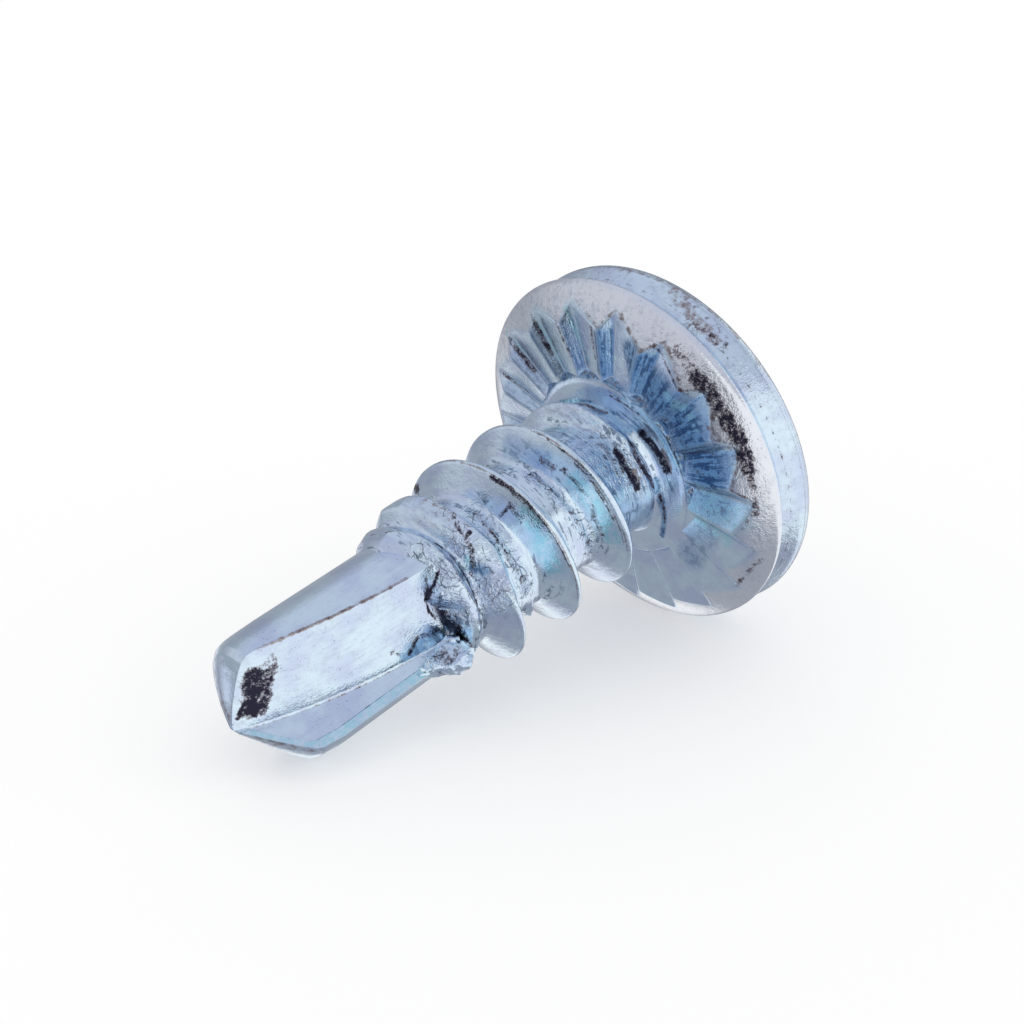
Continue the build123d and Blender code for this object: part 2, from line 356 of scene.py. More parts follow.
zinc = {
    "pale": (0.73, 0.87, 0.97),
    "warm": (0.86, 0.86, 0.90),
    "lavender": (0.63, 0.72, 0.90),
    "grey": (0.48, 0.54, 0.63),
    "blue": (0.20, 0.40, 0.64),
    "navy": (0.06, 0.13, 0.27),
    "teal": (0.46, 0.80, 0.90),
    "scored": (0.12, 0.17, 0.28),
    "worn": (0.38, 0.34, 0.35),
    # the next two colours are laid for stains and also as painted shade and painted reflections of dark
    # surroundings
    "smudgeAndShade": (0.17, 0.12, 0.13),
    "stainAndShade": (0.03, 0.028, 0.05),
    "specks": (0.10, 0.10, 0.12),
    "cracks": (0.05, 0.06, 0.09),
    "mottleSize": 0.55,        # mm, as are the sizes below
    "fineSize": 0.12,
    "grainSize": 0.03,
    "streakSize": 0.06,
    "crackSize": 0.22,
    "crackBend": 5 / 7,        # how far cracks are bent, as a share of their size
    "unevenBy": (0.45, 0.55),  # shares of fine noise and streaks in the unevenness
    # where a noise, a mark or a mixture of them starts to show a colour, and where it is full
    "lavenderFrom": (0.42, 0.60),
    "greyFrom": (0.48, 0.58),
    "scoredBelow": (0.46, 0.38),
    "scoredWhere": (0.40, 0.55),
    "navyBelow": (0.53, 0.43),
    "tealFrom": (0.40, 0.56),
    "wearFrom": (0.35, 0.75),
    "smudgeAndShadeFrom": (0.34, 0.56),
    "stainAndShadeFrom": (0.48, 0.72),
    "specksFrom": (0.70, 0.75),
    "specksWhere": (0.42, 0.60),
    "crackBelow": (0.06, 0.01),
    "crackWhere": (0.42, 0.56),
    # how much of a colour is laid on where it is full
    "greyShare": (0.12, 0.8),  # everywhere, and more where it is matt
    "scoredShare": 0.75,
    "blueShare": 0.9,
    "smudgeAndShadeShare": 0.65,
    "specksShare": 0.5,
    "crackShare": 0.65,
    # how much fine noise, streaks and grain fray the borders
    "wearFray": 1.2,
    "stainAndShadeFray": (1.1, 0.5, 0.3),
    # roughness, and how it changes with the unevenness, the matt mark and the dark stains and painted shade
    "roughness": (0.15, 0.15, 0.12, 0.15),
    # height of the bumps, and how it grows where it is torn, matt or filmed
    "fineBump": (0.4, 4.0, 1.5),
    "streakBump": (0.3, 0.8, 1.0),
    "grainBump": (0.12, 0.4),
    "speckDip": 0.3,
    "crackDip": 1.5,
    "bumpStrength": 0.6,
    "bumpDistance": 0.00002,   # m
}


# Zinc with a blue passivated film: a mottling of pale and lavender, streaked blue and navy
# or teal where the film is thick, brown-grey where it is rubbed, cracked where it is torn,
# and ragged dark patches with smudged borders, partly stains and partly painted shade and
# painted reflections of dark surroundings. The marks on the mesh say where these are.
def makeZinc():
    material = bpy.data.materials.new("bluedZinc")
    material.use_nodes = True
    graph = Graph(material.node_tree)
    place = graph.add("ShaderNodeTexCoord", {}, {}, 3)
    combed = graph.add("ShaderNodeAttribute", {"attribute_name": "combed"}, {}, 1)
    film, torn, matt, combing = (graph.mark(name) for name in ("film", "torn", "matt", "combing"))
    mottle = graph.noise(place, zinc["mottleSize"], 2.0)
    fine = graph.noise(place, zinc["fineSize"], 3.0, 0.65)
    grain = graph.noise(place, zinc["grainSize"], 1.0)
    # the combed places are in millimetres already
    streak = (graph.noise(combed, 1000 * zinc["streakSize"], 2.0) - 0.5) * combing + 0.5
    byFine, byStreak = zinc["unevenBy"]
    uneven = fine * byFine + streak * byStreak
    # cracks run along the borders of cells, on places bent by noise
    bend = zinc["crackBend"] * zinc["crackSize"] / 1000
    bent = graph.noise(place, zinc["crackSize"], 3.0, output=1)
    bent = graph.add("ShaderNodeVectorMath", {"operation": "SCALE"}, {0: bent, "Scale": bend})
    bent = graph.add("ShaderNodeVectorMath", {"operation": "ADD"}, {0: place, 1: bent})
    sockets = {"Vector": bent, "Scale": 1000 / zinc["crackSize"]}
    border = graph.add("ShaderNodeTexVoronoi", {"feature": "DISTANCE_TO_EDGE"}, sockets)
    crack = torn * fine.between(*zinc["crackWhere"]) * border.below(*zinc["crackBelow"])
    # the film's own colours
    lavender = (mottle * 0.5 + streak * 0.5).between(*zinc["lavenderFrom"])
    colour = graph.mixColour(lavender, zinc["pale"], zinc["lavender"])
    colour = graph.mixColour(graph.mark("warm"), colour, zinc["warm"])
    least, more = zinc["greyShare"]
    grey = (matt * more + least) * uneven.between(*zinc["greyFrom"])
    colour = graph.mixColour(grey, colour, zinc["grey"])
    scored = combing * streak.below(*zinc["scoredBelow"]) * fine.between(*zinc["scoredWhere"])
    colour = graph.mixColour(scored * zinc["scoredShare"], colour, zinc["scored"])
    colour = graph.mixColour((film * zinc["blueShare"]).clamped(), colour, zinc["blue"])
    colour = graph.mixColour(film * uneven.below(*zinc["navyBelow"]), colour, zinc["navy"])
    teal = graph.mark("teal") * uneven.between(*zinc["tealFrom"])
    colour = graph.mixColour(teal.clamped(), colour, zinc["teal"])
    # wear, dark stains with painted shade and painted reflections, specks and cracks lie over them
    wear = (graph.mark("wear") + (fine - 0.5) * zinc["wearFray"]).between(*zinc["wearFrom"])
    colour = graph.mixColour(wear, colour, zinc["worn"])
    byFine, byStreak, byGrain = zinc["stainAndShadeFray"]
    # this darkness paints stains together with painted shade and painted reflections of dark surroundings,
    # with smudged borders
    darkness = graph.mark("stainAndShade") + (fine - 0.5) * byFine + (streak - 0.5) * byStreak
    darkness = darkness + (grain - 0.5) * byGrain
    smudgeAndShade = darkness.between(*zinc["smudgeAndShadeFrom"])
    stainAndShade = darkness.between(*zinc["stainAndShadeFrom"])
    colour = graph.mixColour(smudgeAndShade * zinc["smudgeAndShadeShare"], colour, zinc["smudgeAndShade"])
    colour = graph.mixColour(stainAndShade, colour, zinc["stainAndShade"])
    speck = grain.between(*zinc["specksFrom"]) * mottle.between(*zinc["specksWhere"])
    colour = graph.mixColour(speck * zinc["specksShare"], colour, zinc["specks"])
    colour = graph.mixColour(crack * zinc["crackShare"], colour, zinc["cracks"])
    least, byUneven, byMatt, byStainAndShade = zinc["roughness"]
    roughness = least + (uneven - 0.5) * byUneven + matt * byMatt + stainAndShade * byStainAndShade
    least, byTorn, byMatt = zinc["fineBump"]
    height = (fine - 0.5) * (least + torn * byTorn + matt * byMatt)
    least, byMatt, byFilm = zinc["streakBump"]
    height = height + (streak - 0.5) * (least + matt * byMatt + film * byFilm)
    least, byMatt = zinc["grainBump"]
    height = height + (grain - 0.5) * (least + matt * byMatt)
    height = height - speck * zinc["speckDip"] - crack * zinc["crackDip"]
    sockets = {"Strength": zinc["bumpStrength"], "Distance": zinc["bumpDistance"], "Height": height}
    bump = graph.add("ShaderNodeBump", {}, sockets)
    sockets = {"Base Color": colour, "Metallic": 1.0, "Roughness": roughness.clamped(), "Normal": bump}
    graph.feed(material.node_tree.nodes["Principled BSDF"], sockets)
    return material


zincFinish = makeZinc()


# ---- flange with its locking serrations

flange = {
    "toothCount": 19,
    "toothPhase": 35.5,        # angle of one crest
    # how unevenly they were struck: mean, swing and its angle
    "toothSlip": (-1.8, 2.2, -30.0),
    "steepShare": 0.27,        # share of the pitch that the steep face takes
    "toothDepth": 0.17,
    "bearingRadius": 2.78,
    "bearingDepth": 0.46,
    "rimFullness": 0.36,
    "rimRadius": 3.53,
    "rimRounding": 0.14,
    "top": (3.23, 0.36),       # radius and height, as is the next
    "topInner": (3.0, 0.36),
    "innerRadius": 1.25,
    "crestRounding": 0.010,
    "toothRounding": 0.032,    # of crests and valleys, as a share of the pitch
    "longestTooth": 3.3,       # no tooth reaches beyond this radius
    "edgeCorners": 60,
    "edgeRounding": 0.003,     # at each of them
    "topRounding": 0.02,
    "edgeSpacing": 0.004,
    "columnsPerTooth": 48,
    "ringRows": 52,
    "edgeRows": 44,
    "sharpAngle": 35,
    # the steep faces' film starts at a radius and is gone or full at two more, which lie
    # further out on the crests, below a height
    "steepStart": 1.9,
    "steepEnd": (2.95, 2.80),
    "crestReach": 0.35,
    "crestHeight": -0.445,
    # by angle: the film on the steep faces, and the strength of the border outside the
    # teeth and of the radial streaks
    "steepFilm": [(-215, 0.35), (-150, 0.5), (-110, 0.9), (-60, 0.4), (-40, 0)],
    "borderShare": [(-200, 0.2), (-170, 0.4), (-130, 1), (-50, 1), (-30, 0.4), (0, 0.3)],
    "combingShare": [(-55, 1), (-40, 0.3), (40, 0.3), (60, 1)],
    "border": (0.06, 0.07),    # its distance from the teeth and its width
    "borderWear": 0.62,
    # painted shade in the crease at the teeth's ends
    "borderShade": 0.36,
    "warmth": 0.8,             # outside the teeth
    # strokes by angle and radius on the underside: half width, strength, corners
    "stainAndShade": [
        # the first three strokes are a painted reflection of dark surroundings, a ragged dark streak along
        # the rim band
        (0.10, 0.50, [(-108, 3.25), (-104, 3.23), (-98.5, 3.17)]),
        (0.14, 0.68, [(-98.5, 3.17), (-93.4, 3.20), (-84, 3.20), (-76, 3.22), (-66, 3.20)]),
        (0.06, 0.55, [(-66, 3.20), (-58, 3.19), (-50, 3.18)]),
        (0.04, 0.55, [(-116, 3.11), (-113, 3.02), (-105, 2.89), (-100, 2.84), (-96, 2.88)]),
        (0.06, 0.45, [(-16, 3.13), (-23, 3.18), (-28, 3.23), (-32, 3.30)]),
        (0.08, 0.36, [(-102, 1.98), (-91, 2.0), (-80, 2.16)]),
        (0.08, 0.36, [(-72, 1.92), (-68, 2.06), (-64, 2.25)]),
        (0.06, 0.40, [(-75, 2.33), (-72, 2.63), (-66, 2.74)]),
        (0.06, 0.5, [(-141, 2.8), (-142, 2.2)]),
        (0.05, 0.5, [(-159, 2.85), (-157, 2.2)]),
        (0.05, 0.6, [(-173, 3.1), (-173, 2.3)]),
        (0.06, 0.6, [(168, 3.1), (168, 2.3)]),
        (0.05, 0.45, [(150, 3.0), (152, 2.3)]),
    ],
    "film": [
        (0.42, 1.0, [(-106, 2.3), (-90, 2.35), (-76, 2.35), (-64, 2.35)]),
        (0.35, 0.55, [(-64, 2.35), (-50, 2.35)]),
        (0.20, 0.9, [(-122, 2.7), (-112, 2.1)]),
        (0.12, 0.8, [(-137, 2.7), (-137, 2.0)]),
        (0.25, 0.4, [(-30, 2.2), (-10, 2.2)]),
    ],
    "teal": [
        (0.30, 0.5, [(-50.3, 1.95), (-47, 2.84)]),
        (0.14, 0.8, [(-36, 2.0), (-33, 2.6)]),
        (0.05, 0.7, [(167, 3.26), (170, 2.73), (173, 2.22)]),
        (0.05, 0.7, [(-173, 3.16), (-171, 2.64), (-170, 2.1)]),
        (0.05, 0.7, [(-154, 3.11), (-152, 2.63), (-149, 2.1)]),
        (0.10, 0.5, [(-100, 2.5), (-85, 2.6)]),
    ],
    "wear": [
        (0.07, 0.45, [(-84, 2.85), (-79, 2.96), (-72, 3.03), (-63, 2.96)]),
        (0.10, 0.30, [(-104, 3.30), (-90, 3.33), (-76, 3.33)]),
        (0.12, 0.22, [(167, 3.3), (-179, 3.42), (-160, 3.43), (-136, 3.37), (-118, 3.3)]),
    ],
    "matt": [
        (0.22, 0.45, [(-210, 3.2), (-180, 3.3), (-150, 3.3), (-120, 3.25), (-90, 3.25), (-60, 3.2),
                      (-40, 3.2)]),
        (0.42, 0.8, [(-106, 2.3), (-90, 2.35), (-76, 2.35), (-62, 2.35), (-48, 2.35)]),
        (0.35, 0.3, [(-200, 2.5), (-180, 2.5), (-150, 2.5), (-125, 2.5)]),
    ],
}


# Where an angle falls in its tooth's pitch, after the uneven slip of the teeth, which is
# a mean plus a cosine around the ring.
def toothShare(theta):
    mean, swing, swingAngle = flange["toothSlip"]
    slip = mean + swing * np.cos(np.radians(theta - swingAngle))
    return ((theta - flange["toothPhase"] - slip) * flange["toothCount"] / 360) % 1


# One tooth across its pitch: up the steep share, down the rest, blurred a little by a bell
# curve so that crest and valley are rounded.
def toothWave(theta):
    share = toothShare(theta)
    fine = (np.arange(2000) + 0.5) / 2000
    steep = flange["steepShare"]
    wave = np.where(fine < steep, fine / steep, (1 - fine) / (1 - steep))
    reach = np.exp(-0.5 * (np.minimum(fine, 1 - fine) / flange["toothRounding"]) ** 2)
    blurred = np.real(np.fft.ifft(np.fft.fft(wave) * np.fft.fft(reach / reach.sum())))
    return np.interp(share, fine, blurred, period=1)


# The falling edge below the rim: a quadratic from the bearing ring up to the rim plane.
def fallingEdge(radius):
    share = (radius - flange["bearingRadius"]) / (flange["rimRadius"] - flange["bearingRadius"])
    full = -flange["bearingDepth"] * (1 - share) * (1 + flange["rimFullness"] * share)
    return np.where(share < 0, -flange["bearingDepth"] * (1 - share * (1 - flange["rimFullness"])), full)


# The underside is the higher of the falling edge and a plane that climbs from the axis
# to each tooth's valley, rounded where they meet.
def undersideHeight(theta, radius):
    climb = flange["toothDepth"] * radius / flange["bearingRadius"] * toothWave(theta)
    return softMax(fallingEdge(radius), climb - flange["bearingDepth"], flange["crestRounding"])


def makeFlange():
    columns = flange["toothCount"] * flange["columnsPerTooth"]
    theta = np.arange(columns) * 360 / columns
    # a tooth ends where the falling edge has risen as far as the tooth's wave
    fine = np.linspace(flange["bearingRadius"], flange["longestTooth"], 400)
    steepness = flange["toothDepth"] / flange["bearingRadius"]
    rise = (fallingEdge(fine) + flange["bearingDepth"]) / (steepness * fine)
    toothEnd = np.interp(toothWave(theta), rise, fine)
    share = np.linspace(0, 1, flange["ringRows"])[:, None]
    ringRadius = flange["innerRadius"] + (toothEnd - flange["innerRadius"]) * share
    ringDepth = -undersideHeight(theta, ringRadius)
    last = flange["rimRadius"] - flange["rimRounding"] * 0.75
    edgeRadius = np.linspace(flange["bearingRadius"], last, flange["edgeCorners"])
    corners = [(radius, fallingEdge(np.array(radius))) for radius in edgeRadius]
    corners += [(flange["rimRadius"], 0), flange["top"], flange["topInner"]]
    roundings = [flange["edgeRounding"]] * (flange["edgeCorners"] - 1)
    roundings += [flange["rimRounding"], flange["topRounding"]]
    path = roundedPath(corners, roundings, flange["edgeSpacing"])
    travel = np.arange(len(path))
    outer = slice(0, np.argmax(path[:, 0]) + 1)
    start = np.interp(toothEnd, path[outer, 0], travel[outer])
    share = np.linspace(0, 1, flange["edgeRows"] + 1)[1:, None]
    place = start + (travel[-1] - start) * share
    edge = np.interp(place, travel, path[:, 0])
    edgeHeight = np.interp(place, travel, path[:, 1])
    under = edgeHeight < -0.05
    edgeHeight = np.where(under, np.maximum(edgeHeight, undersideHeight(theta, edge)), edgeHeight)
    radius = np.concatenate([ringRadius, edge])
    depth = np.concatenate([ringDepth, -edgeHeight])
    grid = polar(theta, radius, depth)
    points = shellPoints((0, 0, -0.1), grid, (0, 0, 0.1))
    triangles = outwards(points, shellTriangles(len(radius), columns))
    theta, reach, depth = onScrew(points)
    under = smoothStep(-0.1, 0.0, depth)
    marks = marksOf(flange, flatRing, theta, reach)
    marks = {name: under * values for name, values in marks.items()}
    # the steep faces have a thicker film
    steep = under * (reach > flange["steepStart"]) * (depth > 0.02)
    steep = steep * smoothStep(1.06, 0.94, toothShare(theta) / flange["steepShare"])
    onCrest = undersideHeight(theta, reach) < flange["crestHeight"]
    steep = steep * smoothStep(*flange["steepEnd"], reach - flange["crestReach"] * onCrest)
    marks["film"] = np.maximum(marks["film"], steep * byAngle(theta, flange["steepFilm"]))
    # a brown border with dark spots just outside the teeth, the dark spots being painted shade in the crease
    # where the teeth end
    beyond = reach - np.interp(theta, np.arange(columns) * 360 / columns, toothEnd, period=360)
    distance, width = flange["border"]
    border = under * np.exp(-((beyond - distance) / width) ** 2)
    border = border * byAngle(theta, flange["borderShare"])
    marks["wear"] = np.maximum(marks["wear"], flange["borderWear"] * border)
    marks["stainAndShade"] = np.maximum(marks["stainAndShade"], flange["borderShade"] * border)
    marks["warm"] = flange["warmth"] * under * smoothStep(0.0, 0.15, beyond)
    combing = 0.25 + 0.75 * smoothStep(0.2, 0.6, marks["film"])
    combing = combing * under * smoothStep(0.05, -0.05, beyond)
    marks["combing"] = combing * byAngle(theta, flange["combingShare"])
    combed = polar(theta, 2.3, 0) + 0.08 * points
    makePiece("serratedFlange", points, triangles, flange["sharpAngle"], marks, combed)


# ---- dome with its cross recess

dome = {
    "crownRadius": 6.5,
    "edgeRadius": 0.33,
    "edgeHeight": 0.64,
    "radius": 3.47,
    "struckOff": (0.06, -10.0),    # how far off the axis the dome is struck, and which way
    "recessDepth": 1.55,
    "wingReach": (2.05, 0.95),     # half length at the top and at the floor
    "wingHalfWidth": (0.5, 0.375),
    "coreRadius": (1.05, 0.375),
    "side": [(3.28, 0.18), (3.45, 0.55)],    # radius and height up to the rounded edge
    "crownInner": 2.3,             # full rings of the crown end here
    "edgeCorners": 14,
    "crownCorners": 20,
    "rounding": 0.03,              # of the profile's corners
    "mouthRows": 26,
    "mouthRim": (0.02, 0.012),     # the chamfer around the recess: its width and its depth as a share
    "wallRows": 22,
    "floorRows": 10,
    "floorDish": 0.06,
    "spacing": 0.034,
    "columns": 640,
    "sharpAngle": 35,
    # strokes by angle, in degrees, and height above the rim plane
    "stainAndShade": [
        # a painted reflection of dark surroundings on the dome's side
        (0.11, 0.46, [(-112, 0.30), (-106, 0.38), (-101, 0.45)]),
        (0.14, 0.30, [(-122, 0.55), (-110, 0.52), (-103, 0.55)]),
        # painted shade along the crease where the dome's side meets the flange's top
        (0.02, 0.42, [(-200, 0.37), (-150, 0.37), (-110, 0.37), (-70, 0.37), (-20, 0.37)]),
    ],
    "wear": [
        (0.07, 0.52, [(-145, 0.64), (-121, 0.70), (-107, 0.76), (-97, 0.80), (-87, 0.78)]),
        (0.13, 0.58, [(-122, 0.56), (-112, 0.44), (-103, 0.42)]),
    ],
    "matt": [
        (0.40, 0.5, [(-200, 0.5), (-170, 0.5), (-130, 0.5), (-110, 0.5)]),
        (0.40, 0.25, [(-110, 0.5), (-60, 0.5), (0, 0.5)]),
    ],
}
domeEdgeCentre = dome["radius"] - dome["edgeRadius"]
crownTurn = math.asin(domeEdgeCentre / (dome["crownRadius"] - dome["edgeRadius"]))
crownCentre = dome["edgeHeight"] - (dome["crownRadius"] - dome["edgeRadius"]) * math.cos(crownTurn)
headTop = crownCentre + dome["crownRadius"]


def crownHeight(radius):
    return crownCentre + np.sqrt(dome["crownRadius"] ** 2 - radius ** 2)


# The recess in plan, as a radius for every angle: the larger of the core's circle and a
# bar's outline, at a share of the way down from the top.
def recessRadius(theta, share):
    reach, halfWidth, core = (
        dome[part][0] + (dome[part][1] - dome[part][0]) * share
        for part in ("wingReach", "wingHalfWidth", "coreRadius")
    )
    angle = np.radians(angleFrom(theta, 0) % 90)
    angle = np.minimum(angle, math.pi / 2 - angle)
    bar = softMin(reach / np.cos(angle), halfWidth / np.maximum(np.sin(angle), 1e-4), 0.02)
    return softMax(core + 0 * angle, bar, 0.04)


def makeDome():
    theta = np.arange(dome["columns"]) * 360 / dome["columns"]
    turn = np.linspace(math.pi / 2, crownTurn, dome["edgeCorners"])
    bend = np.stack([domeEdgeCentre + dome["edgeRadius"] * np.sin(turn),
                     dome["edgeHeight"] + dome["edgeRadius"] * np.cos(turn)], -1)
    reach = np.linspace(bend[-1, 0], dome["crownInner"], dome["crownCorners"])[1:]
    corners = np.concatenate([dome["side"], bend, np.stack([reach, crownHeight(reach)], -1)])
    path = roundedPath(corners, [dome["rounding"]] * len(corners), dome["spacing"])
    ones = np.ones(dome["columns"])
    radius = [path[:, :1] * ones]
    height = [path[:, 1:] * ones]
    # across the crown from the last full ring to the recess
    mouth = recessRadius(theta, 0)
    rimWidth, rimDepth = dome["mouthRim"]
    share = np.linspace(0, 1, dome["mouthRows"])[1:, None]
    across = dome["crownInner"] + (mouth + rimWidth - dome["crownInner"]) * share ** 0.9
    radius.append(across)
    height.append(crownHeight(across))
    # down the walls
    down = np.concatenate([[rimDepth], np.linspace(0.03, 1, dome["wallRows"])])[:, None]
    wall = recessRadius(theta, down)
    floor = headTop - dome["recessDepth"]
    radius.append(wall)
    height.append(crownHeight(mouth) + (floor - crownHeight(mouth)) * down)
    # over the floor, a little dished
    inwards = np.linspace(1, 0, dome["floorRows"])[1:-1, None]
    radius.append(recessRadius(theta, 1) * inwards)
    height.append(floor - dome["floorDish"] * (1 - inwards) + 0 * theta)
    radius = np.concatenate(radius)
    height = np.concatenate(height)
    grid = polar(theta, radius, -height)
    away, direction = dome["struckOff"]
    points = shellPoints((0, 0, 0.05), grid, (0, 0, floor - dome["floorDish"] - 0.01))
    points = points + polar(direction, away, 0)
    triangles = outwards(points, shellTriangles(len(radius), dome["columns"]))
    theta, _, depth = onScrew(points)
    marks = marksOf(dome, unrolled(dome["radius"]), theta, -depth)
    makePiece("domeHead", points, triangles, dome["sharpAngle"], marks, points)


# ---- smooth ring inside the serrations

ring = {
    # radius and depth from its foot in the teeth's valleys, over its face, to the neck
    "path": [(2.02, 0.30), (1.90, 0.36), (1.80, 0.455), (1.70, 0.485), (1.56, 0.50), (1.42, 0.51),
             (1.32, 0.535), (1.25, 0.60), (1.20, 0.70), (1.0, 0.74)],
    "rounding": 0.03,          # of its corners
    "columns": 720,
    "spacing": 0.012,
    "sharpAngle": 50,
    "combingShare": [(-150, 0.15), (-125, 1), (-55, 1), (-35, 0.15)],     # by angle
    # a stroke of film and a darker one run along its outer wall, at one radius and through
    # these angles: half width and strength
    "wallRadius": 1.87,
    "wallAngles": (-200, -180, -160, -140, -120, -105, -90, -75, -60, -45),
    "wallFilm": (0.07, 1.0),
    "wallDarkening": (0.06, 0.42),
    # strokes by angle and radius
    "stainAndShade": [
        # a painted reflection of dark surroundings on the ring's rounded face
        (0.10, 0.72, [(-97, 1.42), (-88, 1.45), (-78, 1.49), (-66, 1.50)]),
        (0.025, 0.58, [(-130, 1.60), (-119, 1.62), (-109, 1.65), (-100, 1.68)]),
        # this stroke and the next are painted shade along the crease where the ring turns into the neck
        (0.025, 0.55, [(-178, 1.38), (-153, 1.29), (-130, 1.27)]),
        (0.03, 0.55, [(-45, 1.27), (-30, 1.36), (-18, 1.46)]),
    ],
    "film": [
        (0.06, 0.9, [(-185, 1.46), (-165, 1.36), (-150, 1.30), (-125, 1.28), (-105, 1.28)]),
        (0.05, 0.9, [(-60, 1.26), (-38, 1.30), (-22, 1.42), (-5, 1.58)]),
    ],
    "teal": [
        (0.05, 0.8, [(-195, 1.52), (-178, 1.42), (-165, 1.36)]),
        (0.06, 0.5, [(-120, 1.74), (-95, 1.76), (-70, 1.78)]),
    ],
    "wear": [
        (0.06, 0.8, [(-80, 1.61), (-68, 1.60)]),
    ],
    "matt": [
        (0.10, 0.5, [(-110, 1.6), (-85, 1.6), (-65, 1.5)]),
    ],
}


def makeRing():
    path = roundedPath(ring["path"], [ring["rounding"]] * len(ring["path"]), ring["spacing"])
    theta = np.arange(ring["columns"]) * 360 / ring["columns"]
    grid = polar(theta, path[:, :1], path[:, 1:])
    points = shellPoints((0, 0, -path[0, 1]), grid, (0, 0, -path[-1, 1]))
    triangles = outwards(points, shellTriangles(len(path), ring["columns"]))
    theta, reach, _ = onScrew(points)
    wall = [(angle, ring["wallRadius"]) for angle in ring["wallAngles"]]
    strokes = {**ring, "film": ring["film"] + [(*ring["wallFilm"], wall)],
               "stainAndShade": ring["stainAndShade"] + [(*ring["wallDarkening"], wall)]}
    marks = marksOf(strokes, flatRing, theta, reach)
    marks["combing"] = byAngle(theta, ring["combingShare"])
    combed = np.stack([0.12 * points[:, 0], 0.12 * points[:, 1], reach], -1)
    makePiece("smoothRing", points, triangles, ring["sharpAngle"], marks, combed)


# ---- neck, thread and collar

